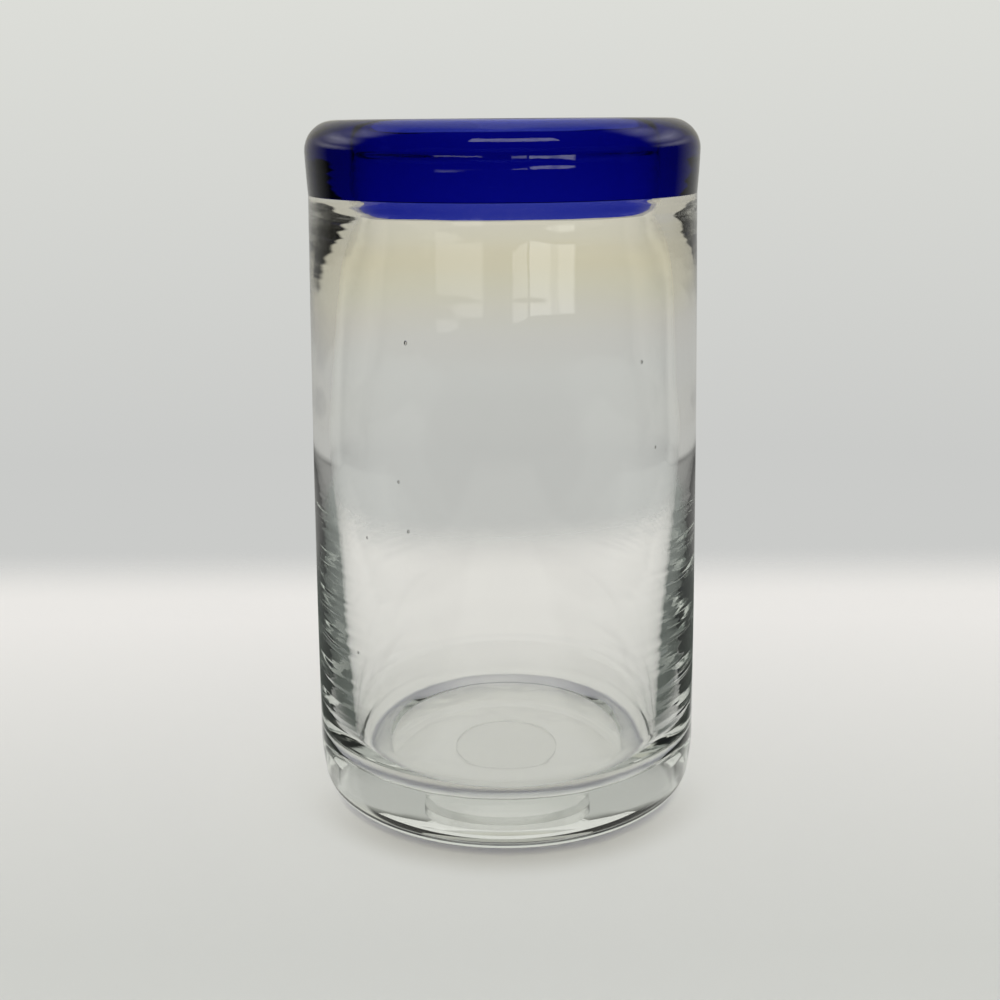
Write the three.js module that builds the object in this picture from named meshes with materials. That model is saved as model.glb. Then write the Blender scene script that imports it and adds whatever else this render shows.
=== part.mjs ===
// A hand-blown tumbler. One thick gather of clear glass makes the wall and the heavy foot, a trail of cobalt
// glass is wrapped on its lip and melted in, and the pontil rod left a small disc of glass under the foot.
// Millimetres, +Z up. The origin is the middle of the resting face, and every piece is turned about +Z.
import * as THREE from "three";

// Outside of the glass
const HEIGHT = 150; // table to the crest of the lip
const LIP_RADIUS = 41.7; // outside of the cobalt band
const SHOULDER_RADIUS = 43.2; // outside at the mould line, where the wall meets the foot
const WALL_SWELL = 0.25; // how far the middle of the wall stands proud of a straight taper
const FOOT_HEIGHT = 12.5; // table to the mould line
const FOOT_RADIUS = 42.6; // outside of the foot, where its bottom edge starts to round under
const FOOT_SWELL = 0.1; // how far the side of the foot bows out
const FOOT_EDGE_ROUND = 6.5; // soft rounding of the bottom edge

// Cobalt lip wrap
const BAND_HEIGHT = 15.2; // crest of the lip to the seam with the clear glass
const LIP_CREST_INSET = 6; // outside of the lip in to its crest
const LIP_OUTER_DROP = 7.5; // crest down to where the outside of the lip is upright
const MOUTH_WALL = 10; // thickness where the lip is rolled in furthest
const MOUTH_DROP = 4.8; // crest down to there
const ROLL_WALL = 9.5; // thickness under the roll
const ROLL_DROP = 7.2; // crest down to there
const SEAM_WALL = 8.9; // thickness at the seam, where the wrap is melted to the clear wall

// Inside of the clear glass, with each drop measured from the seam
const SHELF_WALL = 7.9; // wall just under the seam, where it thins fastest
const SHELF_DROP = 4.4;
const NECK_WALL = 6.4;
const NECK_DROP = 13;
const THROAT_WALL = 4.75; // wall where the thick neck has run out
const THROAT_DROP = 24;
const WAIST_WALL = 4.4; // thinnest wall
const WAIST_DROP = 44;
const HEEL_WALL = 6.9; // wall where it starts to round into the floor
const HEEL_RISE = 10; // floor up to the heel
const FLOOR_HEIGHT = 10.2; // table to the edge of the inside floor
const WELL_RADIUS = 27.4; // flat well in the middle of the floor
const WELL_MARGIN = 2.8; // sloping ring between the well and the edge of the floor
const WELL_DEPTH = 0.8; // how far the well lies under the edge of the floor
const WELL_DOME = 0.1; // how far the middle of the well rises again

// Underside
const PONTIL_RADIUS = 12; // disc of glass left by the pontil rod
const PONTIL_TOP = 1.4; // table to the face where the disc is melted into the base
const PONTIL_EDGE = 0.3; // rounding of the disc's broken edge
const PONTIL_BREAK = 0.1; // depth of the hollow that the rod left as it broke away
const KICK_MARGIN = 8; // ring of pushed-up base that shows round the disc
const KICK_DEPTH = 0.35; // how far the middle of the base is pushed up off the table

// Facets
const TURN_SEGMENTS = 64;
const WALL_STEPS = 10;
const CURVE_STEPS = 6;
const FINE_STEPS = 4;

const SEAM_HEIGHT = HEIGHT - BAND_HEIGHT;
const SEAM_BORE = LIP_RADIUS - SEAM_WALL;
const HEEL_HEIGHT = FLOOR_HEIGHT + HEEL_RISE;
const FLOOR_RADIUS = WELL_RADIUS + WELL_MARGIN;
const KICK_RADIUS = PONTIL_RADIUS + KICK_MARGIN;

// A profile point is a radius and a height.
const point = (radius, height) => new THREE.Vector2(radius, height);

// Outside radius of the clear wall: a straight taper from mould line to lip, with a slight barrel swell.
function outsideAt(height) {
  const t = (height - FOOT_HEIGHT) / (SEAM_HEIGHT - FOOT_HEIGHT);
  return THREE.MathUtils.lerp(SHOULDER_RADIUS, LIP_RADIUS, t) + 4 * WALL_SWELL * t * (1 - t);
}

// Inside of the clear wall at a height, from the wall's thickness there.
const insidePoint = (height, wall) => point(outsideAt(height) - wall, height);

// Height of the pushed-up base over the table. It runs out level with the resting face.
const kickAt = (radius) => KICK_DEPTH * (1 - (radius / KICK_RADIUS) ** 2) ** 2;

// Curve between two points whose middle stands off the chord by the given offset.
function bowed(from, to, offset, steps) {
  const control = from.clone().lerp(to, 0.5).addScaledVector(offset, 2);
  return new THREE.QuadraticBezierCurve(from, control, to).getPoints(steps);
}

// Quarter of an ellipse, from one angle to another in quarter turns.
function quarter(centre, width, height, fromQuarter, toQuarter) {
  const clockwise = toQuarter < fromQuarter;
  const start = (fromQuarter * Math.PI) / 2;
  const end = (toQuarter * Math.PI) / 2;
  const arc = new THREE.EllipseCurve(centre.x, centre.y, width, height, start, end, clockwise);
  return arc.getPoints(CURVE_STEPS);
}

// Joins stretches of profile end to end, with each shared end point kept once.
function joined(...stretches) {
  const all = stretches.flat();
  return all.filter((p, i) => i === 0 || p.distanceTo(all[i - 1]) > 1e-6);
}

// Inside of the glass in one smooth sweep, from the roll of the mouth down to the heel. The wrap and the clear wall
// share it, and part at the seam.
const insideSweep = new THREE.SplineCurve([
  point(LIP_RADIUS - MOUTH_WALL, HEIGHT - MOUTH_DROP),
  point(LIP_RADIUS - ROLL_WALL, HEIGHT - ROLL_DROP),
  point(SEAM_BORE, SEAM_HEIGHT),
  insidePoint(SEAM_HEIGHT - SHELF_DROP, SHELF_WALL),
  insidePoint(SEAM_HEIGHT - NECK_DROP, NECK_WALL),
  insidePoint(SEAM_HEIGHT - THROAT_DROP, THROAT_WALL),
  insidePoint(SEAM_HEIGHT - WAIST_DROP, WAIST_WALL),
  insidePoint(HEEL_HEIGHT, HEEL_WALL),
]);
const sweepPoints = insideSweep.getPoints((insideSweep.points.length - 1) * CURVE_STEPS);
const lipBore = sweepPoints.slice(0, 2 * CURVE_STEPS + 1);
const wallBore = sweepPoints.slice(2 * CURVE_STEPS);

// The underside between two radii, before the pontil disc is counted.
function pushedUp(from, to) {
  return Array.from({ length: FINE_STEPS + 1 }, (_, i) => {
    const radius = THREE.MathUtils.lerp(from, to, i / FINE_STEPS);
    return point(radius, kickAt(radius));
  });
}

function clearBodyProfile() {
  const pontilSeat = [point(0, PONTIL_TOP), point(PONTIL_RADIUS, PONTIL_TOP)];
  const edgeCentre = point(FOOT_RADIUS - FOOT_EDGE_ROUND, FOOT_EDGE_ROUND);
  const footEdge = quarter(edgeCentre, FOOT_EDGE_ROUND, FOOT_EDGE_ROUND, -1, 0);
  const footSide = bowed(
    point(FOOT_RADIUS, FOOT_EDGE_ROUND),
    point(SHOULDER_RADIUS, FOOT_HEIGHT),
    point(FOOT_SWELL, 0),
    FINE_STEPS,
  );
  const outside = Array.from({ length: WALL_STEPS + 1 }, (_, i) => {
    const height = THREE.MathUtils.lerp(FOOT_HEIGHT, SEAM_HEIGHT, i / WALL_STEPS);
    return point(outsideAt(height), height);
  });
  const heel = wallBore[wallBore.length - 1];
  const corner = quarter(point(FLOOR_RADIUS, HEEL_HEIGHT), heel.x - FLOOR_RADIUS, HEEL_RISE, 0, -1);
  const floorEdge = point(FLOOR_RADIUS, FLOOR_HEIGHT);
  const wellEdge = point(WELL_RADIUS, FLOOR_HEIGHT - WELL_DEPTH);
  const wellMiddle = point(0, wellEdge.y + WELL_DOME);
  return joined(
    pontilSeat,
    pushedUp(PONTIL_RADIUS, KICK_RADIUS),
    footEdge,
    footSide,
    outside,
    wallBore,
    corner,
    bowed(floorEdge, wellEdge, point(0, WELL_DEPTH / 5), FINE_STEPS),
    bowed(wellEdge, wellMiddle, point(0, WELL_DOME / 4), FINE_STEPS),
  );
}

function cobaltLipProfile() {
  const crest = LIP_RADIUS - LIP_CREST_INSET;
  const mouthWidth = MOUTH_WALL - LIP_CREST_INSET;
  const outerRound = quarter(point(crest, HEIGHT - LIP_OUTER_DROP), LIP_CREST_INSET, LIP_OUTER_DROP, 0, 1);
  const innerRound = quarter(point(crest, HEIGHT - MOUTH_DROP), mouthWidth, MOUTH_DROP, 1, 2);
  const seam = [point(SEAM_BORE, SEAM_HEIGHT), point(LIP_RADIUS, SEAM_HEIGHT)];
  return joined(seam, outerRound, innerRound, lipBore);
}

function pontilDiscProfile() {
  const edge = PONTIL_RADIUS - PONTIL_EDGE;
  const brokenFace = pushedUp(0, edge).map(
    (p) => point(p.x, p.y + PONTIL_BREAK * (1 - (p.x / edge) ** 2)),
  );
  const edgeCentre = point(edge, kickAt(edge) + PONTIL_EDGE);
  const roundedEdge = quarter(edgeCentre, PONTIL_EDGE, PONTIL_EDGE, -1, 0);
  return joined(brokenFace, roundedEdge, [point(PONTIL_RADIUS, PONTIL_TOP), point(0, PONTIL_TOP)]);
}

// Turns a closed profile about +Z into one named piece of glass.
function turned(name, profile, colour, opacity) {
  const geometry = new THREE.LatheGeometry(profile, TURN_SEGMENTS).rotateX(Math.PI / 2);
  const material = new THREE.MeshStandardMaterial({
    color: colour,
    roughness: 0.04,
    metalness: 0,
    transparent: true,
    opacity,
  });
  const mesh = new THREE.Mesh(geometry, material);
  mesh.name = name;
  return mesh;
}

const tumbler = new THREE.Group();
tumbler.add(
  turned("clear_body", clearBodyProfile(), "#dde3dc", 0.3),
  turned("cobalt_lip", cobaltLipProfile(), "#14187a", 0.85),
  turned("pontil_disc", pontilDiscProfile(), "#d3dad2", 0.4),
);

export default tumbler;
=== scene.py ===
# %% [markdown]
# # A hand-blown tumbler with a cobalt lip
# The glass is three pieces that were melted together: a clear body with a heavy foot, a trail of cobalt
# glass rolled on its lip, and the disc of glass that the pontil rod left underneath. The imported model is
# loaded first, as a fixed frame. Every piece made here stands in for one of its nodes, at the same place
# and size.

# %% Load the frame
import math

import bpy
from mathutils import Matrix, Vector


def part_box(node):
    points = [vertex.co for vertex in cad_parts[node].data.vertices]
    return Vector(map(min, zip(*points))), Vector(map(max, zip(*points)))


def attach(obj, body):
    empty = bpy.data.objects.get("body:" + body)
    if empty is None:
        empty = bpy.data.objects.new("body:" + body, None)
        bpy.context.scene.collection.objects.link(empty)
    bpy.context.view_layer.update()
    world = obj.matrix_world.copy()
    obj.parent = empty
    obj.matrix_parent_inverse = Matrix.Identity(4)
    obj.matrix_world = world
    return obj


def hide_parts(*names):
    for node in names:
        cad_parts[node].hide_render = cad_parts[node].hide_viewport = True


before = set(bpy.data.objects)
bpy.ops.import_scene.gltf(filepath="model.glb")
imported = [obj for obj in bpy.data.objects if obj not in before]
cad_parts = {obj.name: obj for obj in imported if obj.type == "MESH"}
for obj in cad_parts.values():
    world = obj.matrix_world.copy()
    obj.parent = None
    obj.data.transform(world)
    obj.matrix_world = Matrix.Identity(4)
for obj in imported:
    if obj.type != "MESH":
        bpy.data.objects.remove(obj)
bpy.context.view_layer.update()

# %% [markdown]
# ## The camera
# The photograph looks slightly down at the glass from about the height of its lip. From a long way off the
# picture would be flatter, and the near and far sides of the lip would fall together. The lens and the
# distance here were found by matching the lip, the sides and the foot of the outline.

# %% Set the camera
MM = 0.001
FRAME_WIDTH_PX = 1000
FOCAL_LENGTH_PX = 1440
SENSOR_WIDTH = 36
CAMERA_DISTANCE = 314.3
CAMERA_HEIGHT = 150.6
CAMERA_PITCH_DOWN = 14.95
CAMERA_ROLL = 0.43
GLASS_AXIS_PX = 505

camera_data = bpy.data.cameras.new("photo_camera")
camera_data.sensor_width = SENSOR_WIDTH
camera_data.lens = FOCAL_LENGTH_PX * SENSOR_WIDTH / FRAME_WIDTH_PX
camera_data.shift_x = (FRAME_WIDTH_PX / 2 - GLASS_AXIS_PX) / FRAME_WIDTH_PX
camera_data.clip_start = MM
camera = bpy.data.objects.new("photo_camera", camera_data)
bpy.context.scene.collection.objects.link(camera)
pitch = Matrix.Rotation(math.radians(90 - CAMERA_PITCH_DOWN), 4, "X")
roll = Matrix.Rotation(math.radians(-CAMERA_ROLL), 4, "Z")
place = Matrix.Translation((0, -CAMERA_DISTANCE * MM, CAMERA_HEIGHT * MM))
camera.matrix_world = place @ pitch @ roll
bpy.context.scene.camera = camera
print("lens", round(camera_data.lens, 1), "mm")

# %% [markdown]
# ## Sizes
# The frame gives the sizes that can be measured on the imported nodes. The others are those of the blown form:
# how thick the wall is on the way down, and how round its edges are. All are in millimetres. In the lip a
# drop is measured down from the crest, and under the seam it is measured from the seam.

# %% Sizes of the glass
body_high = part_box("clear_body")[1]
lip_low, lip_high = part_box("cobalt_lip")
disc_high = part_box("pontil_disc")[1]
HEIGHT = lip_high[2] / MM
LIP_RADIUS = lip_high[0] / MM
SEAM_HEIGHT = lip_low[2] / MM
SHOULDER_RADIUS = body_high[0] / MM
PONTIL_RADIUS = disc_high[0] / MM

WALL_SWELL = 0.25
MOULD_LINE_HEIGHT = 12.5
FOOT_RADIUS = 42.6
FOOT_SWELL = 0.1
FOOT_EDGE_ROUND = 6.5
LIP_CREST_INSET = 6.6
LIP_OUTER_DROP = 6.4
LIP_FLARE = 0.45
LIP_BOW = 0.05
MOUTH_WALL = 10.2
MOUTH_DROP = 4
ROLL_WALL = 9.2
ROLL_DROP = 6.8
SEAM_WALL = 8.05
SHELF_WALL = 7.05
SHELF_DROP = 4
NECK_WALL = 5.7
NECK_DROP = 12.6
THROAT_WALL = 4.75
THROAT_DROP = 23.4
BELLY_WALL = 4.25
BELLY_DROP = 38.8
WAIST_WALL = 3.8
WAIST_DROP = 62
HEEL_WALL = 6.9
HEEL_RISE = 10
FLOOR_HEIGHT = 10.2
WELL_RADIUS = 27.4
WELL_MARGIN = 2.8
WELL_DEPTH = 0.8
WELL_DOME = 0.1
PONTIL_TOP = 1.4
PONTIL_EDGE = 0.02
PONTIL_BREAK = 0.02
KICK_MARGIN = 8
KICK_DEPTH = 0.05
SEAM_RADIUS = LIP_RADIUS - LIP_FLARE
FLOOR_RADIUS = WELL_RADIUS + WELL_MARGIN
KICK_RADIUS = PONTIL_RADIUS + KICK_MARGIN
HEEL_HEIGHT = FLOOR_HEIGHT + HEEL_RISE
print("height", round(HEIGHT, 2), "lip", round(LIP_RADIUS, 2), "seam", round(SEAM_HEIGHT, 2))

# %% [markdown]
# ## Drawing a section
# A blown glass is turned on its rod all the while it is hot, so each piece is drawn as half of its section
# and spun about the upright axis. The section is a row of points, each a radius and a height. Straight
# stretches, quarter rounds, bowed stretches and one smooth sweep are enough to draw all three pieces.

# %% Helpers that draw a section
SAME_POINT = 0.001


def steps(start, end, spacing):
    """Numbers from start to end, about the given spacing apart."""
    count = max(1, round(abs(end - start) / spacing))
    return [start + (end - start) * i / count for i in range(count + 1)]


def bowed(start, end, offset, count):
    """A shallow curve from start to end whose middle stands off the straight line by the offset."""
    middle = [(start[i] + end[i]) / 2 + 2 * offset[i] for i in (0, 1)]
    curve = []
    for step in range(count + 1):
        b = step / count
        a = 1 - b
        curve.append(tuple(a * a * start[i] + 2 * a * b * middle[i] + b * b * end[i] for i in (0, 1)))
    return curve


def quarter_round(centre, width, height, start_degrees, end_degrees, count):
    """A quarter of an ellipse, from one angle to another."""
    turn = end_degrees - start_degrees
    angles = [math.radians(start_degrees + turn * i / count) for i in range(count + 1)]
    return [(centre[0] + width * math.cos(a), centre[1] + height * math.sin(a)) for a in angles]


def through(points, spacing):
    """A smooth curve through the points, as a bent strip of steel would lie."""
    ends = [points[0]] + points + [points[-1]]
    curve = []
    for before, start, end, after in zip(ends, ends[1:], ends[2:], ends[3:]):
        leave = [(end[i] - before[i]) / 2 for i in (0, 1)]
        arrive = [(after[i] - start[i]) / 2 for i in (0, 1)]
        for t in steps(0, 1, spacing / math.dist(start, end)):
            share = (2 * t**3 - 3 * t**2 + 1, t**3 - 2 * t**2 + t, 3 * t**2 - 2 * t**3, t**3 - t**2)
            curve.append(tuple(
                share[0] * start[i] + share[1] * leave[i] + share[2] * end[i] + share[3] * arrive[i]
                for i in (0, 1)
            ))
    return curve


def joined(*stretches):
    """Joins stretches end to end, and keeps a point that two of them share once."""
    section = []
    for point in (p for stretch in stretches for p in stretch):
        if not section or math.dist(point, section[-1]) > SAME_POINT:
            section.append(point)
    return section


# %% [markdown]
# ## Turning a section into glass
# A small plane is merged into one vertex at the start of the section. That vertex is extruded along the
# other points, and the line is spun about the axis. Where the line starts and ends on the axis, the spin
# leaves many vertices in one place, so doubles are merged, and then the normals are turned to face outwards.

# %% Helpers that turn a section
TURN_STEPS = 144
MERGE_DISTANCE = 0.002
SMOOTH_ANGLE = 40


def deselect_all():
    """Leaves edit mode, with nothing selected."""
    if bpy.context.object and bpy.context.object.mode != "OBJECT":
        bpy.ops.object.mode_set(mode="OBJECT")
    bpy.ops.object.select_all(action="DESELECT")


def turn_on_axis(name, section):
    """Makes one closed piece of glass from its section."""
    deselect_all()
    bpy.ops.mesh.primitive_plane_add(size=MM)
    piece = bpy.context.object
    piece.name = name
    bpy.ops.object.mode_set(mode="EDIT")
    bpy.ops.mesh.merge(type="CENTER")
    here = (0, 0)
    for there in section:
        way = ((there[0] - here[0]) * MM, 0, (there[1] - here[1]) * MM)
        if there is section[0]:
            bpy.ops.transform.translate(value=way)
        else:
            bpy.ops.mesh.extrude_vertices_move(TRANSFORM_OT_translate={"value": way})
        here = there
    bpy.ops.mesh.select_all(action="SELECT")
    bpy.ops.mesh.spin(steps=TURN_STEPS, angle=2 * math.pi, center=(0, 0, 0), axis=(0, 0, 1))
    bpy.ops.mesh.select_all(action="SELECT")
    bpy.ops.mesh.remove_doubles(threshold=MERGE_DISTANCE * MM)
    bpy.ops.mesh.normals_make_consistent(inside=False)
    bpy.ops.object.mode_set(mode="OBJECT")
    bpy.ops.object.shade_smooth_by_angle(angle=math.radians(SMOOTH_ANGLE))
    print(name, len(piece.data.polygons), "faces")
    return piece


# %% [markdown]
# ## The inside of the glass
# The jacks that opened the mouth shaped the lip and the wall in one go, so their inside is one smooth sweep.
# It rolls in at the mouth and is thick at the seam. The wall thins through the neck, the throat and the
# belly to a low waist, and is thick again at the heel.

# %% The lines that the pieces share
INSIDE_RING = 0.33
FUSED_RING = 0.8


def outside_radius(height):
    """The outside of the wall: a straight taper with a slight barrel swell."""
    up = (height - MOULD_LINE_HEIGHT) / (SEAM_HEIGHT - MOULD_LINE_HEIGHT)
    return SHOULDER_RADIUS + (SEAM_RADIUS - SHOULDER_RADIUS) * up + 4 * WALL_SWELL * up * (1 - up)


def inside_point(height, wall):
    return (outside_radius(height) - wall, height)


def kick_height(radius):
    """How far the base is pushed up off the table."""
    return KICK_DEPTH * (1 - (radius / KICK_RADIUS) ** 2) ** 2


def inside_line():
    """The inside of the lip and the wall in one smooth sweep, from the mouth down to the heel."""
    mouth = (LIP_RADIUS - MOUTH_WALL, HEIGHT - MOUTH_DROP)
    roll = (LIP_RADIUS - ROLL_WALL, HEIGHT - ROLL_DROP)
    seam = (SEAM_RADIUS - SEAM_WALL, SEAM_HEIGHT)
    shelf = inside_point(SEAM_HEIGHT - SHELF_DROP, SHELF_WALL)
    neck = inside_point(SEAM_HEIGHT - NECK_DROP, NECK_WALL)
    throat = inside_point(SEAM_HEIGHT - THROAT_DROP, THROAT_WALL)
    belly = inside_point(SEAM_HEIGHT - BELLY_DROP, BELLY_WALL)
    waist = inside_point(SEAM_HEIGHT - WAIST_DROP, WAIST_WALL)
    heel = inside_point(HEEL_HEIGHT, HEEL_WALL)
    return through([mouth, roll, seam, shelf, neck, throat, belly, waist, heel], INSIDE_RING)


def seam_line(height):
    return [(r, height) for r in steps(SEAM_RADIUS - SEAM_WALL, SEAM_RADIUS, FUSED_RING)]


# %% [markdown]
# ## The clear body
# The foot is heavy, with a soft bottom edge, and its base is pushed up by a hair round the pontil. It ends at
# the mould line, where the wall begins. The floor inside has a shallow well with a rounded corner. Fine
# rings are needed on the inside, because the ripples of the hot tools go there later.

# %% Turn the clear body
OUTSIDE_RING = 1.2
KICK_RING = 0.5
RESTING_RING = 2
WELL_SIDE_BOW = WELL_DEPTH / 5
WELL_FLOOR_BOW = WELL_DOME / 4

pontil_seat = [(r, PONTIL_TOP) for r in steps(0, PONTIL_RADIUS, FUSED_RING)]
kick = [(r, kick_height(r)) for r in steps(PONTIL_RADIUS, KICK_RADIUS, KICK_RING)]
resting_ring = [(r, 0) for r in steps(KICK_RADIUS, FOOT_RADIUS - FOOT_EDGE_ROUND, RESTING_RING)]
edge_centre = (FOOT_RADIUS - FOOT_EDGE_ROUND, FOOT_EDGE_ROUND)
foot_edge = quarter_round(edge_centre, FOOT_EDGE_ROUND, FOOT_EDGE_ROUND, -90, 0, count=14)
foot_low = (FOOT_RADIUS, FOOT_EDGE_ROUND)
foot_high = (SHOULDER_RADIUS, MOULD_LINE_HEIGHT)
foot_side = bowed(foot_low, foot_high, (FOOT_SWELL, 0), count=8)
outside = [(outside_radius(h), h) for h in steps(MOULD_LINE_HEIGHT, SEAM_HEIGHT, OUTSIDE_RING)]
inside = [point for point in inside_line() if point[1] <= SEAM_HEIGHT]
corner_width = inside[-1][0] - FLOOR_RADIUS
corner = quarter_round((FLOOR_RADIUS, HEEL_HEIGHT), corner_width, HEEL_RISE, 0, -90, count=24)
floor_edge = (FLOOR_RADIUS, FLOOR_HEIGHT)
well_edge = (WELL_RADIUS, FLOOR_HEIGHT - WELL_DEPTH)
well_middle = (0, FLOOR_HEIGHT - WELL_DEPTH + WELL_DOME)
well_side = bowed(floor_edge, well_edge, (0, WELL_SIDE_BOW), count=12)
well_floor = bowed(well_edge, well_middle, (0, WELL_FLOOR_BOW), count=50)
body_section = joined(
    pontil_seat, kick, resting_ring, foot_edge, foot_side, outside,
    seam_line(SEAM_HEIGHT)[::-1],
    inside, corner, well_side, well_floor,
)
clear_body = turn_on_axis("clear_glass_body", body_section)

# %% [markdown]
# ## The cobalt lip
# The trail of cobalt glass was wrapped on the hot lip, melted in and rolled. Its section is a thick wall that
# flares slightly, with a broad round top that rolls in over the mouth. It sits on the flat edge of the clear
# wall. The two meet with a hair of overlap, so that light goes from one glass to the other without a film of
# air between them.

# %% Turn the cobalt lip
SEAM_OVERLAP = 0.01
crest_radius = LIP_RADIUS - LIP_CREST_INSET
mouth_width = MOUTH_WALL - LIP_CREST_INSET
lip_seam = seam_line(SEAM_HEIGHT - SEAM_OVERLAP)
side_low = (SEAM_RADIUS, SEAM_HEIGHT)
side_high = (LIP_RADIUS, HEIGHT - LIP_OUTER_DROP)
lip_side = bowed(side_low, side_high, (LIP_BOW, 0), count=20)
outer_centre = (crest_radius, HEIGHT - LIP_OUTER_DROP)
outer_round = quarter_round(outer_centre, LIP_CREST_INSET, LIP_OUTER_DROP, 0, 90, count=32)
inner_centre = (crest_radius, HEIGHT - MOUTH_DROP)
inner_round = quarter_round(inner_centre, mouth_width, MOUTH_DROP, 90, 180, count=24)
bore_side = [point for point in inside_line() if point[1] > SEAM_HEIGHT] + lip_seam[:1]
lip_section = joined(lip_seam, lip_side, outer_round, inner_round, bore_side)
cobalt_lip = turn_on_axis("cobalt_glass_lip", lip_section)

# %% [markdown]
# ## The pontil disc
# When the finished glass is cracked off the pontil rod, a disc of glass stays in the middle of the base. It
# has a small rounded edge and a very shallow hollow where the rod broke away. Like the lip, it overlaps the
# clear glass by a hair.

# %% Turn the pontil disc
BROKEN_RING = 0.6
disc_radius = PONTIL_RADIUS + SEAM_OVERLAP
edge_height = kick_height(PONTIL_RADIUS)
broken_face = [
    (r, kick_height(r) + PONTIL_BREAK * (1 - (r / PONTIL_RADIUS) ** 2))
    for r in steps(0, PONTIL_RADIUS - PONTIL_EDGE, BROKEN_RING)
]
edge_middle = (disc_radius - PONTIL_EDGE, edge_height + PONTIL_EDGE)
rounded_edge = quarter_round(edge_middle, PONTIL_EDGE, PONTIL_EDGE, -90, 0, count=6)
fused_face = [(r, PONTIL_TOP + SEAM_OVERLAP) for r in steps(disc_radius, 0, FUSED_RING)]
pontil_disc = turn_on_axis("pontil_glass_disc", joined(broken_face, rounded_edge, fused_face))

# %% [markdown]
# ## The hand of the maker
# Glass that is blown and turned by hand is never quite even. Each mark of the hand is a Displace modifier
# that moves only one group of vertices. The ones with a cloud texture read it through a stretched empty,
# which makes the clouds into long, flat streaks.

# %% Helpers for uneven glass


def ramp(value, start, end):
    """Goes smoothly from 0 at start to 1 at end."""
    t = min(1, max(0, (value - start) / (end - start)))
    return t * t * (3 - 2 * t)


def weigh(piece, name, weight_at):
    """Makes a vertex group whose weight comes from the radius and the height of each vertex."""
    group = piece.vertex_groups.new(name=name)
    for vertex in piece.data.vertices:
        weight = weight_at(math.hypot(vertex.co.x, vertex.co.y) / MM, vertex.co.z / MM)
        if weight > 0:
            group.add([vertex.index], weight, "REPLACE")


def soften_middle(piece, name, inner, outer):
    """Takes a group's weight away at the front and back, so that the marks lie at the two sides."""
    group = piece.vertex_groups[name]
    for vertex in piece.data.vertices:
        if any(entry.group == group.index for entry in vertex.groups):
            side = ramp(abs(vertex.co.x) / MM, inner, outer)
            group.add([vertex.index], group.weight(vertex.index) * side, "REPLACE")


def displace(piece, name, distance, direction="NORMAL", streak=None):
    """Moves a vertex group, evenly or by a cloud texture whose streaks have the given sizes."""
    deselect_all()
    modifier = piece.modifiers.new(name, "DISPLACE")
    modifier.vertex_group = name
    modifier.direction = direction
    modifier.strength = distance * MM
    modifier.mid_level = 0
    if streak:
        bpy.ops.object.empty_add()
        ruler = bpy.context.object
        ruler.scale = [size * MM for size in streak]
        modifier.texture = bpy.data.textures.new(name, "CLOUDS")
        modifier.texture.noise_scale = 1
        modifier.texture_coords = "OBJECT"
        modifier.texture_coords_object = ruler
        modifier.mid_level = 0.5
    bpy.context.view_layer.update()
    bpy.context.view_layer.objects.active = piece
    bpy.ops.object.modifier_apply(modifier=name)
    if streak:
        bpy.data.objects.remove(ruler)
    print(name, distance, "mm")


# %% [markdown]
# ## Where the marks lie
# Each mark keeps to its own part of the glass, told by radius and height. Of each pair of numbers, the first
# is where the mark begins to show and the second is where it is full. A gap is how far under the seam a mark
# takes to fade, so that the clear wall still meets the lip there.

# %% Parts of the clear body
BORE_CLEARANCE = 2.5
FLOOR_CLEARANCE = 1
UPPER_BORE = (92, 122)
LOWER_BORE_FROM_BELOW = (12, 22)
LOWER_BORE_FROM_ABOVE = (58, 38)
JACK_RINGS = (114, 125)
JACK_GAP = 0.8
NECK_SIDES = (80, 118)
NECK_GAP = 3.6
HEEL_RINGS_FROM_BELOW = (10, 20)
HEEL_RINGS_FROM_ABOVE = (84, 62)
CORNER_REACH = (18, 24)
CORNER_RISE = (26, 12)
CORNER_LOWEST = 7
CORNER_WIDEST = 34
OUTER_WAVES = (100, 112)
OUTER_SKIN = (SEAM_RADIUS - 2, SEAM_RADIUS - 1)
OUTER_GAP = 3


def in_bore(radius, height):
    return height > FLOOR_HEIGHT + FLOOR_CLEARANCE and radius < outside_radius(height) - BORE_CLEARANCE


def under_seam(height, gap):
    return ramp(height, SEAM_HEIGHT, SEAM_HEIGHT - gap)


def upper_bore(radius, height):
    return ramp(height, *UPPER_BORE) if in_bore(radius, height) else 0


def lower_bore(radius, height):
    amount = ramp(height, *LOWER_BORE_FROM_BELOW) * ramp(height, *LOWER_BORE_FROM_ABOVE)
    return amount if in_bore(radius, height) else 0


def jack_rings(radius, height):
    return ramp(height, *JACK_RINGS) * under_seam(height, JACK_GAP) if in_bore(radius, height) else 0


def neck_sides(radius, height):
    return ramp(height, *NECK_SIDES) * under_seam(height, NECK_GAP) if in_bore(radius, height) else 0


def heel_rings(radius, height):
    amount = ramp(height, *HEEL_RINGS_FROM_BELOW) * ramp(height, *HEEL_RINGS_FROM_ABOVE)
    return amount if in_bore(radius, height) else 0


def floor_corner(radius, height):
    amount = ramp(radius, *CORNER_REACH) * ramp(height, *CORNER_RISE)
    return amount if height > CORNER_LOWEST and radius < CORNER_WIDEST else 0


def outer_waves(radius, height):
    return ramp(height, *OUTER_WAVES) * ramp(radius, *OUTER_SKIN) * under_seam(height, OUTER_GAP)


# %% [markdown]
# ## Where the marks lie on the lip
# The whole inside of the lip drifts with the bore. The rings lie on its outside and the streaks on its
# inside, and both begin a little over the seam.

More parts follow.
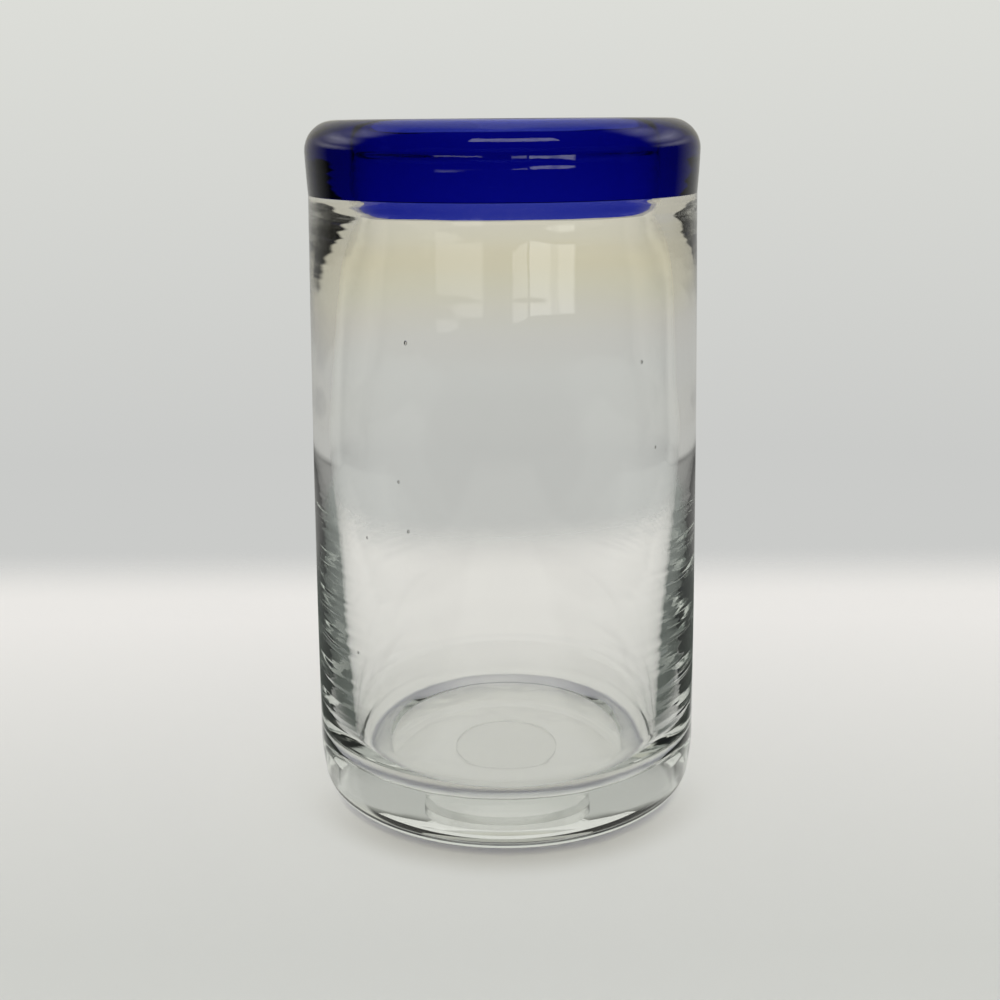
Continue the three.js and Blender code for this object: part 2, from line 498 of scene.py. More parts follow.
# %% Parts of the cobalt lip
LIP_BORE = (crest_radius + 3, crest_radius - 3)
LIP_RINGS_REACH = (crest_radius, crest_radius + 3)
LIP_RINGS_RISE = (SEAM_HEIGHT + 1.5, SEAM_HEIGHT + 4)
LIP_STREAKS_REACH = (crest_radius, crest_radius - 2)
LIP_STREAKS_RISE = (SEAM_HEIGHT + 0.8, SEAM_HEIGHT + 2.5)


def lip_bore(radius, height):
    return ramp(radius, *LIP_BORE)


def lip_rings(radius, height):
    return ramp(radius, *LIP_RINGS_REACH) * ramp(height, *LIP_RINGS_RISE)


def lip_streaks(radius, height):
    return ramp(radius, *LIP_STREAKS_REACH) * ramp(height, *LIP_STREAKS_RISE)


# %% [markdown]
# ## Making the glass uneven
# The bore wanders off the axis, to one side at the lip and to the other above the floor. The lip and the wall
# drift together, so that the seam stays closed. The neck is thicker at its two sides. The jacks leave fine
# rings in the neck and the heel, and the lip has rings outside and streaks inside. The outside of the neck is
# wavy, and the corner of the floor is lumpy.

# %% Make the glass uneven
BORE_DRIFT = 0.45
LOWER_DRIFT = -0.2

weigh(clear_body, "upper_bore", upper_bore)
weigh(clear_body, "lower_bore", lower_bore)
weigh(clear_body, "jack_rings", jack_rings)
weigh(clear_body, "heel_rings", heel_rings)
weigh(clear_body, "floor_corner", floor_corner)
weigh(clear_body, "outer_waves", outer_waves)
weigh(clear_body, "neck_sides", neck_sides)
soften_middle(clear_body, "heel_rings", inner=20, outer=33)
soften_middle(clear_body, "neck_sides", inner=20, outer=30)
weigh(cobalt_lip, "lip_bore", lip_bore)
weigh(cobalt_lip, "lip_rings", lip_rings)
weigh(cobalt_lip, "lip_streaks", lip_streaks)
soften_middle(cobalt_lip, "lip_streaks", inner=16, outer=27)
displace(clear_body, "upper_bore", BORE_DRIFT, "X")
displace(clear_body, "lower_bore", LOWER_DRIFT, "X")
displace(cobalt_lip, "lip_bore", BORE_DRIFT, "X")
displace(clear_body, "neck_sides", distance=0.55)
displace(clear_body, "jack_rings", distance=0.035, streak=(45, 45, 1.3))
displace(clear_body, "heel_rings", distance=0.045, streak=(35, 35, 1.9))
displace(clear_body, "floor_corner", distance=0.6, streak=(14, 14, 14))
displace(clear_body, "outer_waves", distance=0.05, streak=(16, 16, 9))
displace(clear_body, "outer_waves", distance=0.07, streak=(8, 8, 4))
displace(cobalt_lip, "lip_rings", distance=0.05, streak=(30, 30, 1.2))
displace(cobalt_lip, "lip_streaks", distance=0.06, streak=(25, 25, 1.4))

# %% [markdown]
# ## Seeds
# A few small bubbles, which glassmakers call seeds, stay in the wall. Each is a small sphere whose faces look
# inwards, joined to the clear body, so that the light leaves the glass there and enters it again. They are
# drawn out a little upwards, as the wall was.

# %% Blow the seeds
SEED_DEPTH = 1.9
SEED_STRETCH = 1.5
SEED_SEGMENTS = 16
SEED_RINGS = 10
SEEDS = [
    # degrees round from the front, height, size
    (-28, 108, 0.32),
    (42, 103, 0.26),
    (-31, 80, 0.24),
    (48, 85, 0.22),
    (-28, 70, 0.26),
    (-43, 67, 0.22),
    (-48, 41, 0.24),
]

for turn, height, size in SEEDS:
    deselect_all()
    reach = outside_radius(height) - SEED_DEPTH
    angle = math.radians(turn)
    middle = (reach * math.sin(angle) * MM, -reach * math.cos(angle) * MM, height * MM)
    bpy.ops.mesh.primitive_uv_sphere_add(
        segments=SEED_SEGMENTS, ring_count=SEED_RINGS, radius=size * MM, location=middle,
    )
    seed = bpy.context.object
    seed.scale = (1, 1, SEED_STRETCH)
    bpy.ops.object.transform_apply(location=False, rotation=False, scale=True)
    bpy.ops.object.shade_smooth()
    bpy.ops.object.mode_set(mode="EDIT")
    bpy.ops.mesh.select_all(action="SELECT")
    bpy.ops.mesh.flip_normals()
    bpy.ops.object.mode_set(mode="OBJECT")
    clear_body.select_set(True)
    bpy.context.view_layer.objects.active = clear_body
    bpy.ops.object.join()
print(len(SEEDS), "seeds")

# %% [markdown]
# ## Node and colour helpers
# Colours are written as sRGB hex values, as a colour picker shows them, and turned to the linear numbers that
# the sockets hold. One function adds a node, so that a material reads as a list of its nodes.

# %% Node and colour helpers
WHITE = (1, 1, 1, 1)


def linear(hex_colour):
    channels = [int(hex_colour[i:i + 2], 16) / 255 for i in (1, 3, 5)]
    return [c / 12.92 if c <= 0.04045 else ((c + 0.055) / 1.055) ** 2.4 for c in channels] + [1]


def add(tree, kind, inputs=None, **settings):
    """Adds a node, sets its own settings, and sets or links each input that is named."""
    node = tree.nodes.new(kind)
    for name, value in settings.items():
        setattr(node, name, value)
    for socket, value in (inputs or {}).items():
        if isinstance(value, bpy.types.NodeSocket):
            tree.links.new(value, node.inputs[socket])
        else:
            node.inputs[socket].default_value = value
    return node


def new_material(name):
    material = bpy.data.materials.new(name)
    material.use_nodes = True
    material.node_tree.nodes.clear()
    return material, material.node_tree


def set_stops(node, stops):
    """Puts the colours of a Color Ramp at their places, from 0 to 1."""
    elements = node.color_ramp.elements
    while len(elements) < len(stops):
        elements.new(1)
    for element, (position, colour) in zip(elements, stops):
        element.position = position
        element.color = colour


# %% [markdown]
# ## The clear glass
# Soda-lime glass bends light by 1.52 and takes a little colour from it on the way through, so the colour is
# in the volume and the surface stays white. The clear glass has the grey-green of iron. Under the lip it was
# stained a faint amber in the flame, and that lies on the surface, so it is the Base Color, by the height.

# %% Clear glass
GLASS_IOR = 1.52
STAIN_LOW = 102
STAIN_HIGH = 136
STAIN_STOPS = [
    (0, "#fffffe"),
    (0.2, "#fffdfa"),
    (0.4, "#fefcf3"),
    (0.6, "#fdf9ec"),
    (0.7, "#fdf9ed"),
    (0.8, "#fefbf2"),
    (1, "#fffcf6"),
]
CLEAR_TINT = "#b3ceb1"
CLEAR_DENSITY = 2.4


def clear_glass():
    """Fire-polished clear glass: bright edges, dark where it turns the view aside, amber at the neck."""
    material, tree = new_material("clear_soda_lime_glass")
    place = add(tree, "ShaderNodeTexCoord")
    split = add(tree, "ShaderNodeSeparateXYZ", {0: place.outputs["Object"]})
    height = add(tree, "ShaderNodeMapRange", {
        "Value": split.outputs["Z"], "From Min": STAIN_LOW * MM, "From Max": STAIN_HIGH * MM,
    })
    stain = add(tree, "ShaderNodeValToRGB", {0: height.outputs[0]})
    set_stops(stain, [(position, linear(colour)) for position, colour in STAIN_STOPS])
    shader = add(tree, "ShaderNodeBsdfPrincipled", {
        "Base Color": stain.outputs[0], "Roughness": 0, "IOR": GLASS_IOR, "Transmission Weight": 1,
    })
    depth = add(tree, "ShaderNodeVolumeAbsorption", {"Color": linear(CLEAR_TINT), "Density": CLEAR_DENSITY})
    add(tree, "ShaderNodeOutputMaterial", {"Surface": shader.outputs[0], "Volume": depth.outputs[0]})
    return material


# %% [markdown]
# ## The cobalt glass
# A little cobalt lets through hardly anything but blue. That colour is in the volume too, so the lip is
# darkest where the light goes through the most glass.

# %% Cobalt glass
COBALT_TINT = "#3065e8"
COBALT_DENSITY = 400


def cobalt_glass():
    """Cobalt soda-lime glass: nearly black where it is thick, a clear violet blue where it is thin."""
    material, tree = new_material("cobalt_soda_lime_glass")
    shader = add(tree, "ShaderNodeBsdfPrincipled", {
        "Base Color": WHITE, "Roughness": 0, "IOR": GLASS_IOR, "Transmission Weight": 1,
    })
    depth = add(tree, "ShaderNodeVolumeAbsorption", {"Color": linear(COBALT_TINT), "Density": COBALT_DENSITY})
    add(tree, "ShaderNodeOutputMaterial", {"Surface": shader.outputs[0], "Volume": depth.outputs[0]})
    return material


# %% [markdown]
# ## The pontil glass
# The disc is the same clear glass. It was broken off and ground, which leaves it slightly rough.

# %% Pontil glass
PONTIL_ROUGHNESS = 0.05


def pontil_glass():
    """The same clear glass where it was broken off and ground: slightly dull."""
    material, tree = new_material("ground_pontil_glass")
    shader = add(tree, "ShaderNodeBsdfPrincipled", {
        "Base Color": WHITE, "Roughness": PONTIL_ROUGHNESS, "IOR": GLASS_IOR, "Transmission Weight": 1,
    })
    depth = add(tree, "ShaderNodeVolumeAbsorption", {"Color": linear(CLEAR_TINT), "Density": CLEAR_DENSITY})
    add(tree, "ShaderNodeOutputMaterial", {"Surface": shader.outputs[0], "Volume": depth.outputs[0]})
    return material


# %% [markdown]
# ## Each piece and its glass
# Each piece gets its material and takes the place of its node on the one fixed body.

# %% Give each piece its glass
for piece, node, slot, material in (
    (clear_body, "clear_body", "clear_glass", clear_glass()),
    (cobalt_lip, "cobalt_lip", "cobalt_glass", cobalt_glass()),
    (pontil_disc, "pontil_disc", "pontil_glass", pontil_glass()),
):
    piece.data.materials.append(material)
    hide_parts(node)
    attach(piece, "root")
    print(node, material.name)

# %% [markdown]
# ## The paper
# Glass shows little of its own: it is drawn by what stands round it. It stands on a sheet of matt pale paper,
# whose tone is painted lighter towards the back as a fall of light. Where the foot comes near the paper, a
# soft shadow is painted on the paper in front of it.

# %% The tone of the paper
# The paper's tone from front to back is painted light: lighter towards the back.
FRONT_TONE = "#d0d1cc"
FRONT_TONE_AT = -76
BACK_TONE = "#ebe9e5"
BACK_TONE_AT = 106
# A painted shadow on the paper: a soft darker ring in front of the foot.
PAINTED_SHADOW_TONE = "#dddbd7"
PAINTED_SHADOW_INNER = 34.5
PAINTED_SHADOW_RADIUS = 38.5
PAINTED_SHADOW_OUTER = 51
PAINTED_SHADOW_FRONT = -40


def paper_tone(tree, split):
    """Painted lighter towards the back as a fall of light, with a painted shadow ring in front of the foot."""
    depth = add(tree, "ShaderNodeMapRange", {
        "Value": split.outputs["Y"], "From Min": FRONT_TONE_AT * MM, "From Max": BACK_TONE_AT * MM,
    })
    tone = add(tree, "ShaderNodeMix", {
        0: depth.outputs[0], 6: linear(FRONT_TONE), 7: linear(BACK_TONE),
    }, data_type="RGBA")
    flat = add(tree, "ShaderNodeCombineXYZ", {0: split.outputs["X"], 1: split.outputs["Y"]})
    radius = add(tree, "ShaderNodeVectorMath", {0: flat.outputs[0]}, operation="LENGTH")
    # The painted shadow: a ring between the inner and outer radius, at the front only.
    outwards = add(tree, "ShaderNodeMapRange", {
        "Value": radius.outputs["Value"], "From Min": PAINTED_SHADOW_RADIUS * MM, "From Max": PAINTED_SHADOW_OUTER * MM,
        "To Min": 1, "To Max": 0,
    }, interpolation_type="SMOOTHSTEP")
    inwards = add(tree, "ShaderNodeMapRange", {
        "Value": radius.outputs["Value"], "From Min": PAINTED_SHADOW_INNER * MM, "From Max": PAINTED_SHADOW_RADIUS * MM,
    }, interpolation_type="SMOOTHSTEP")
    frontwards = add(tree, "ShaderNodeMapRange", {
        "Value": split.outputs["Y"], "From Min": PAINTED_SHADOW_FRONT * MM, "From Max": 0, "To Min": 1, "To Max": 0,
    }, interpolation_type="SMOOTHSTEP")
    ring = add(tree, "ShaderNodeMath", {0: outwards.outputs[0], 1: inwards.outputs[0]}, operation="MULTIPLY")
    shade = add(tree, "ShaderNodeMath", {0: ring.outputs[0], 1: frontwards.outputs[0]}, operation="MULTIPLY")
    shaded = add(tree, "ShaderNodeMix", {
        0: shade.outputs[0], 6: tone.outputs[2], 7: linear(PAINTED_SHADOW_TONE),
    }, data_type="RGBA", blend_type="MULTIPLY")
    return shaded.outputs[2]


# %% [markdown]
# ## The table in the glass
# Light that the glass has turned back sees the sheet end sooner, to the left and right. The table beyond it
# is darker near by and lighter farther off, and it draws the lower sides of the glass. A ray counts its
# bounces in whole numbers, so the limits between them end in a half.

# %% The table that the glass shows
ONE_BOUNCE = 0.5
TWO_BOUNCES = 1.5
THREE_BOUNCES = 2.5
SHEET_LEFT = -51
SHEET_RIGHT = 54
SHEET_EDGE = 14
TABLE_NEAR_TONE = "#595f59"
TABLE_FAR_TONE = "#a6aaa6"
TABLE_FAR_AT = 260


def with_table(tree, split, paper):
    """The paper as it is seen straight, and with the table beside it as the glass shows it."""
    ray = add(tree, "ShaderNodeLightPath")
    bounced = add(tree, "ShaderNodeMath", {
        0: ray.outputs["Glossy Depth"], 1: ONE_BOUNCE,
    }, operation="GREATER_THAN")
    lighting = add(tree, "ShaderNodeMath", {
        0: ray.outputs["Diffuse Depth"], 1: ONE_BOUNCE,
    }, operation="GREATER_THAN")
    mirrored = add(tree, "ShaderNodeMath", {
        0: bounced.outputs[0], 1: lighting.outputs[0],
    }, operation="SUBTRACT", use_clamp=True)
    sheet_middle = (SHEET_LEFT + SHEET_RIGHT) / 2 * MM
    off_middle = add(tree, "ShaderNodeMath", {0: split.outputs["X"], 1: sheet_middle}, operation="SUBTRACT")
    from_middle = add(tree, "ShaderNodeMath", {0: off_middle.outputs[0]}, operation="ABSOLUTE")
    beyond = add(tree, "ShaderNodeMapRange", {
        "Value": from_middle.outputs[0],
        "From Min": (SHEET_RIGHT - SHEET_LEFT) / 2 * MM,
        "From Max": ((SHEET_RIGHT - SHEET_LEFT) / 2 + SHEET_EDGE) * MM,
    }, interpolation_type="SMOOTHSTEP")
    table = add(tree, "ShaderNodeMath", {0: mirrored.outputs[0], 1: beyond.outputs[0]}, operation="MULTIPLY")
    far = add(tree, "ShaderNodeMapRange", {
        "Value": from_middle.outputs[0], "From Min": SHEET_RIGHT * MM, "From Max": TABLE_FAR_AT * MM,
    })
    table_tone = add(tree, "ShaderNodeMix", {
        0: far.outputs[0], 6: linear(TABLE_NEAR_TONE), 7: linear(TABLE_FAR_TONE),
    }, data_type="RGBA")
    shown = add(tree, "ShaderNodeMix", {
        0: table.outputs[0], 6: paper, 7: table_tone.outputs[2],
    }, data_type="RGBA")
    return shown.outputs[2]


# %% [markdown]
# ## The floor
# The floor is one flat sheet. Its edges fade out, so that the wall behind seems to rise from it. It lies a
# hair under the foot, so that the two faces aren't in one place.

# %% Lay the floor
FLOOR_HALF_DEPTH = 155
FLOOR_HALF_WIDTH = 405
FLOOR_FADE = 30
FLOOR_DROP = 0.1


def floor_material():
    """Matt pale paper that fades out at its edges."""
    material, tree = new_material("matt_pale_paper")
    place = add(tree, "ShaderNodeTexCoord")
    split = add(tree, "ShaderNodeSeparateXYZ", {0: place.outputs["Object"]})
    across = add(tree, "ShaderNodeMath", {0: split.outputs["X"]}, operation="ABSOLUTE")
    along = add(tree, "ShaderNodeMath", {0: split.outputs["Y"]}, operation="ABSOLUTE")
    spare = (FLOOR_HALF_WIDTH - FLOOR_HALF_DEPTH) * MM
    narrowed = add(tree, "ShaderNodeMath", {0: across.outputs[0], 1: spare}, operation="SUBTRACT")
    reach = add(tree, "ShaderNodeMath", {0: narrowed.outputs[0], 1: along.outputs[0]}, operation="MAXIMUM")
    fade = add(tree, "ShaderNodeMapRange", {
        "Value": reach.outputs[0],
        "From Min": (FLOOR_HALF_DEPTH - FLOOR_FADE) * MM,
        "From Max": (FLOOR_HALF_DEPTH + FLOOR_FADE) * MM,
    }, interpolation_type="SMOOTHSTEP")
    shown = with_table(tree, split, paper_tone(tree, split))
    paper = add(tree, "ShaderNodeBsdfDiffuse", {"Color": shown})
    clear = add(tree, "ShaderNodeBsdfTransparent")
    sheet = add(tree, "ShaderNodeMixShader", {0: fade.outputs[0], 1: paper.outputs[0], 2: clear.outputs[0]})
    add(tree, "ShaderNodeOutputMaterial", {"Surface": sheet.outputs[0]})
    return material


deselect_all()
floor_size = 2 * (FLOOR_HALF_WIDTH + FLOOR_FADE) * MM
bpy.ops.mesh.primitive_plane_add(size=floor_size, location=(0, 0, -FLOOR_DROP * MM))
floor = bpy.context.object
floor.name = "pale_floor"
floor.data.materials.append(floor_material())
print("floor", FLOOR_HALF_WIDTH, "by", FLOOR_HALF_DEPTH, "mm to each side")

# %% [markdown]
# ## The room
# The world does three jobs. A ray that comes straight from the camera, or only bends through the glass,
# meets the pale wall. A ray that the glass has turned back meets the room. Light that falls on the floor is
# even and white, so that the paper shows its own tone. A direction is told by three numbers: how far up it
# points and, once it is laid level, how far away from the camera and how far to the right.

# %% Directions in the room
world = bpy.data.worlds.new("pale_room")
bpy.context.scene.world = world
world.use_nodes = True
tree = world.node_tree
tree.nodes.clear()
ray = add(tree, "ShaderNodeLightPath")
direction = add(tree, "ShaderNodeTexCoord")
split = add(tree, "ShaderNodeSeparateXYZ", {0: direction.outputs["Generated"]})
level = add(tree, "ShaderNodeCombineXYZ", {0: split.outputs["X"], 1: split.outputs["Y"]})
unit = add(tree, "ShaderNodeVectorMath", {0: level.outputs[0]}, operation="NORMALIZE")
heading = add(tree, "ShaderNodeSeparateXYZ", {0: unit.outputs[0]})
up = split.outputs["Z"]
away = heading.outputs["Y"]
right = heading.outputs["X"]
print("room axes: up, away, right")

# %% [markdown]
# ## The wall that is seen straight
# Behind the paper stands a plain pale wall, slightly lighter higher up. It is all that shows round the glass
# and straight through it.

# %% The wall that is seen straight
WALL_LOW_TONE = "#cacbc9"
WALL_HIGH_TONE = "#dcddd8"
WALL_RISE = (-0.22, 0.07)

wall_rise = add(tree, "ShaderNodeMapRange", {
    "Value": up, "From Min": WALL_RISE[0], "From Max": WALL_RISE[1],
})
wall_tone = add(tree, "ShaderNodeMix", {
    0: wall_rise.outputs[0], 6: linear(WALL_LOW_TONE), 7: linear(WALL_HIGH_TONE),
}, data_type="RGBA")
print("wall", WALL_LOW_TONE, "to", WALL_HIGH_TONE)

# %% [markdown]
# ## The side walls
# Inside the glass the walls show up to a dark shade. Its edge is low behind the glass and climbs towards the
# sides, more so at the right, and that draws the dark wedges under the lip. The outside of the glass mirrors
# the walls more faintly, and most where they lie behind it.

# %% The side walls
SIDE_LIGHT = 0.54
SIDE_EDGE = (0.42, 0.52)
SHADE_EDGE = (0.08, 0.13)
LEAN_AWAY = 1.08
LEAN_RIGHT = -0.15
LEAN_EDGE = (1.125, 1.185)
MIRRORED_LIGHT = 0.42
MIRRORED_EDGE = (0.45, 0.95)

under_shade = add(tree, "ShaderNodeMapRange", {
    "Value": up, "From Min": SHADE_EDGE[0], "From Max": SHADE_EDGE[1], "To Min": 1, "To Max": 0,
}, interpolation_type="SMOOTHSTEP")
leaning = add(tree, "ShaderNodeMath", {0: away, 1: LEAN_AWAY, 2: up}, operation="MULTIPLY_ADD")
leaning_right = add(tree, "ShaderNodeMath", {
    0: right, 1: LEAN_RIGHT, 2: leaning.outputs[0],
}, operation="MULTIPLY_ADD")
beside_shade = add(tree, "ShaderNodeMapRange", {
    "Value": leaning_right.outputs[0], "From Min": LEAN_EDGE[0], "From Max": LEAN_EDGE[1],
    "To Min": 1, "To Max": 0,
}, interpolation_type="SMOOTHSTEP")
unshaded = add(tree, "ShaderNodeMath", {
    0: under_shade.outputs[0], 1: beside_shade.outputs[0],
}, operation="MAXIMUM")
ahead = add(tree, "ShaderNodeMapRange", {
    "Value": away, "From Min": SIDE_EDGE[0], "From Max": SIDE_EDGE[1], "To Min": 0, "To Max": SIDE_LIGHT,
}, interpolation_type="SMOOTHSTEP")
side_inside = add(tree, "ShaderNodeMath", {
    0: unshaded.outputs[0], 1: ahead.outputs[0],
}, operation="MULTIPLY")
side_outside = add(tree, "ShaderNodeMapRange", {
    "Value": away, "From Min": MIRRORED_EDGE[0], "From Max": MIRRORED_EDGE[1],
    "To Min": 0, "To Max": MIRRORED_LIGHT,
})
within = add(tree, "ShaderNodeMath", {
    0: ray.outputs["Transmission Depth"], 1: ONE_BOUNCE,
}, operation="GREATER_THAN")
sides = add(tree, "ShaderNodeMix", {
    0: within.outputs[0], 2: side_outside.outputs[0], 3: side_inside.outputs[0],
})
print("side walls", SIDE_LIGHT, MIRRORED_LIGHT)

# %% [markdown]
# ## The back wall
# Straight behind the glass the wall is brighter, and it stays faintly lit higher up. All the walls end where
# the table begins.

# %% The back wall
BACK_LIGHT = 0.6
BACK_EDGE = (0.975, 0.992)
BACK_RISE = (0.08, 0.18)
BACK_HIGH_SHARE = 0.15
TABLE_EDGE = (-0.25, -0.2)

back = add(tree, "ShaderNodeMapRange", {
    "Value": away, "From Min": BACK_EDGE[0], "From Max": BACK_EDGE[1], "To Min": 0, "To Max": BACK_LIGHT,
}, interpolation_type="SMOOTHSTEP")
back_low = add(tree, "ShaderNodeMapRange", {
    "Value": up, "From Min": BACK_RISE[0], "From Max": BACK_RISE[1], "To Min": 1, "To Max": BACK_HIGH_SHARE,
}, interpolation_type="SMOOTHSTEP")
back_part = add(tree, "ShaderNodeMath", {0: back.outputs[0], 1: back_low.outputs[0]}, operation="MULTIPLY")
walls = add(tree, "ShaderNodeMath", {0: sides.outputs[0], 1: back_part.outputs[0]}, operation="MAXIMUM")
above_table = add(tree, "ShaderNodeMapRange", {
    "Value": up, "From Min": TABLE_EDGE[0], "From Max": TABLE_EDGE[1],
}, interpolation_type="SMOOTHSTEP")
lit_walls = add(tree, "ShaderNodeMath", {
    0: walls.outputs[0], 1: above_table.outputs[0],
}, operation="MULTIPLY")
print("back wall", BACK_LIGHT)

# %% [markdown]
# ## The upper room
# High up the room is pale again. Light that took a roundabout way through the glass sees that from lower
# down. The rest sees it only higher up, ahead of the camera and not at the far left, and the outside of the
# glass mirrors a part of it.

# %% The upper room
UPPER_LIGHT = 0.5
UPPER_EDGE = (0.15, 0.3)
OVERHEAD_EDGE = (0.355, 0.395)
OVERHEAD_AHEAD = (0.3, 0.6)
OVERHEAD_RIGHT = (-0.9, -0.8)
OUTSIDE_SHARE = 0.25

upper = add(tree, "ShaderNodeMapRange", {
    "Value": up, "From Min": UPPER_EDGE[0], "From Max": UPPER_EDGE[1], "To Min": 0, "To Max": UPPER_LIGHT,
}, interpolation_type="SMOOTHSTEP")
often_bounced = add(tree, "ShaderNodeMath", {
    0: ray.outputs["Glossy Depth"], 1: TWO_BOUNCES,
}, operation="GREATER_THAN")
often_bent = add(tree, "ShaderNodeMath", {
    0: ray.outputs["Transmission Depth"], 1: THREE_BOUNCES,
}, operation="GREATER_THAN")
roundabout = add(tree, "ShaderNodeMath", {
    0: often_bounced.outputs[0], 1: often_bent.outputs[0],
}, operation="MAXIMUM")
upper_part = add(tree, "ShaderNodeMath", {
    0: upper.outputs[0], 1: roundabout.outputs[0],
}, operation="MULTIPLY")
overhead = add(tree, "ShaderNodeMapRange", {
    "Value": up, "From Min": OVERHEAD_EDGE[0], "From Max": OVERHEAD_EDGE[1],
    "To Min": 0, "To Max": UPPER_LIGHT,
}, interpolation_type="SMOOTHSTEP")
through_glass = add(tree, "ShaderNodeMapRange", {
    "Value": within.outputs[0], "To Min": OUTSIDE_SHARE, "To Max": 1,
})
overhead_shown = add(tree, "ShaderNodeMath", {
    0: overhead.outputs[0], 1: through_glass.outputs[0],
}, operation="MULTIPLY")
overhead_ahead = add(tree, "ShaderNodeMapRange", {
    "Value": away, "From Min": OVERHEAD_AHEAD[0], "From Max": OVERHEAD_AHEAD[1],
}, interpolation_type="SMOOTHSTEP")
overhead_right = add(tree, "ShaderNodeMapRange", {
    "Value": right, "From Min": OVERHEAD_RIGHT[0], "From Max": OVERHEAD_RIGHT[1],
}, interpolation_type="SMOOTHSTEP")
overhead_place = add(tree, "ShaderNodeMath", {
    0: overhead_ahead.outputs[0], 1: overhead_right.outputs[0],
}, operation="MULTIPLY")
overhead_part = add(tree, "ShaderNodeMath", {
    0: overhead_shown.outputs[0], 1: overhead_place.outputs[0],
}, operation="MULTIPLY")
upper_room = add(tree, "ShaderNodeMath", {
    0: upper_part.outputs[0], 1: overhead_part.outputs[0],
}, operation="MAXIMUM")
print("upper room", UPPER_LIGHT)

# %% [markdown]
# ## The table and the whole room
# Below the walls lies the table. Neither it nor the upper room shows behind the camera. Together with the
# walls they make the light of the room, to which the window and the blinds are added next.

# %% The table and the whole room
TABLE_LIGHT = 0.31
NOT_BEHIND = (0, 0.3)

table = add(tree, "ShaderNodeMapRange", {
    "Value": above_table.outputs[0], "To Min": TABLE_LIGHT, "To Max": 0,
})
over_and_under = add(tree, "ShaderNodeMath", {
    0: upper_room.outputs[0], 1: table.outputs[0],
}, operation="ADD")
not_behind = add(tree, "ShaderNodeMapRange", {
    "Value": away, "From Min": NOT_BEHIND[0], "From Max": NOT_BEHIND[1],
}, interpolation_type="SMOOTHSTEP")
rest_of_room = add(tree, "ShaderNodeMath", {
    0: over_and_under.outputs[0], 1: not_behind.outputs[0],
}, operation="MULTIPLY")
room_light = add(tree, "ShaderNodeMath", {
    0: lit_walls.outputs[0], 1: rest_of_room.outputs[0],
}, operation="MAXIMUM")
print("table", TABLE_LIGHT)

# %% [markdown]
# ## The window
# A window stands behind the camera, and only the outside of the glass mirrors it. It is a low row of panes,
# with wide and narrow ones, whose brightness goes by how far right they are. One more pane stands high up,
# and the round of the lip catches it.

# %% The window behind the camera
WINDOW_LIGHT = 2.4
PANES = [
    # how far right, brightness
    (-1, 0), (-0.63, 0), (-0.61, 0.4), (-0.22, 0.55), (-0.18, 0),
    (0.08, 0), (0.1, 0.6), (0.23, 0.7), (0.235, 0),
    (0.25, 0), (0.255, 1), (0.44, 1), (0.46, 0.6), (0.51, 0.6), (0.53, 1), (0.64, 1), (0.66, 0),
]
SILL = (-0.095, -0.089)
HEAD = (-0.036, -0.03)
HIGH_PANE_UP = 0.73
HIGH_PANE_HALF_HEIGHT = 0.07
HIGH_PANE_RIGHT = 0.12
HIGH_PANE_HALF_WIDTH = 0.5

scaled = add(tree, "ShaderNodeMapRange", {"Value": right, "From Min": -1, "From Max": 1})
panes = add(tree, "ShaderNodeValToRGB", {0: scaled.outputs[0]})
set_stops(panes, [((side + 1) / 2, (bright, bright, bright, 1)) for side, bright in PANES])
sill = add(tree, "ShaderNodeMapRange", {
    "Value": up, "From Min": SILL[0], "From Max": SILL[1],
}, interpolation_type="SMOOTHSTEP")
head = add(tree, "ShaderNodeMapRange", {
    "Value": up, "From Min": HEAD[0], "From Max": HEAD[1], "To Min": WINDOW_LIGHT, "To Max": 0,
}, interpolation_type="SMOOTHSTEP")
low_opening = add(tree, "ShaderNodeMath", {0: sill.outputs[0], 1: head.outputs[0]}, operation="MULTIPLY")
low_panes = add(tree, "ShaderNodeMath", {
    0: low_opening.outputs[0], 1: panes.outputs[0],
}, operation="MULTIPLY")
high_height = add(tree, "ShaderNodeMath", {
    0: up, 1: HIGH_PANE_UP, 2: HIGH_PANE_HALF_HEIGHT,
}, operation="COMPARE")
high_width = add(tree, "ShaderNodeMath", {
    0: right, 1: HIGH_PANE_RIGHT, 2: HIGH_PANE_HALF_WIDTH,
}, operation="COMPARE")
high_opening = add(tree, "ShaderNodeMath", {
    0: high_height.outputs[0], 1: high_width.outputs[0],
}, operation="MULTIPLY")
high_pane = add(tree, "ShaderNodeMath", {
    0: high_opening.outputs[0], 1: WINDOW_LIGHT,
}, operation="MULTIPLY")
all_panes = add(tree, "ShaderNodeMath", {0: low_panes.outputs[0], 1: high_pane.outputs[0]}, operation="ADD")
behind = add(tree, "ShaderNodeMath", {0: away, 1: 0}, operation="LESS_THAN")
behind_outside = add(tree, "ShaderNodeMath", {
    0: behind.outputs[0], 1: within.outputs[0],
}, operation="GREATER_THAN")
window = add(tree, "ShaderNodeMath", {
    0: all_panes.outputs[0], 1: behind_outside.outputs[0],
}, operation="MULTIPLY")
print("window", WINDOW_LIGHT)

# %% [markdown]
# ## The blinds
# To the left and right stand slatted blinds, which give the outside of the lip its long pale streaks. They
# lie between the window and the lit walls, and the inside of the glass doesn't see them.

# %% The blinds to the left and right
BLIND_LIGHT = 1.6
BLIND_NEAR_EDGE = (0, 0.4)
BLIND_FAR_EDGE = (0.45, 0.85)
SLATS = [
    # how far up, brightness
    (0, 0), (0.12, 0), (0.2, 0.6), (0.28, 0.2), (0.42, 0.9), (0.54, 0.3), (0.68, 0.6), (0.85, 0),
]

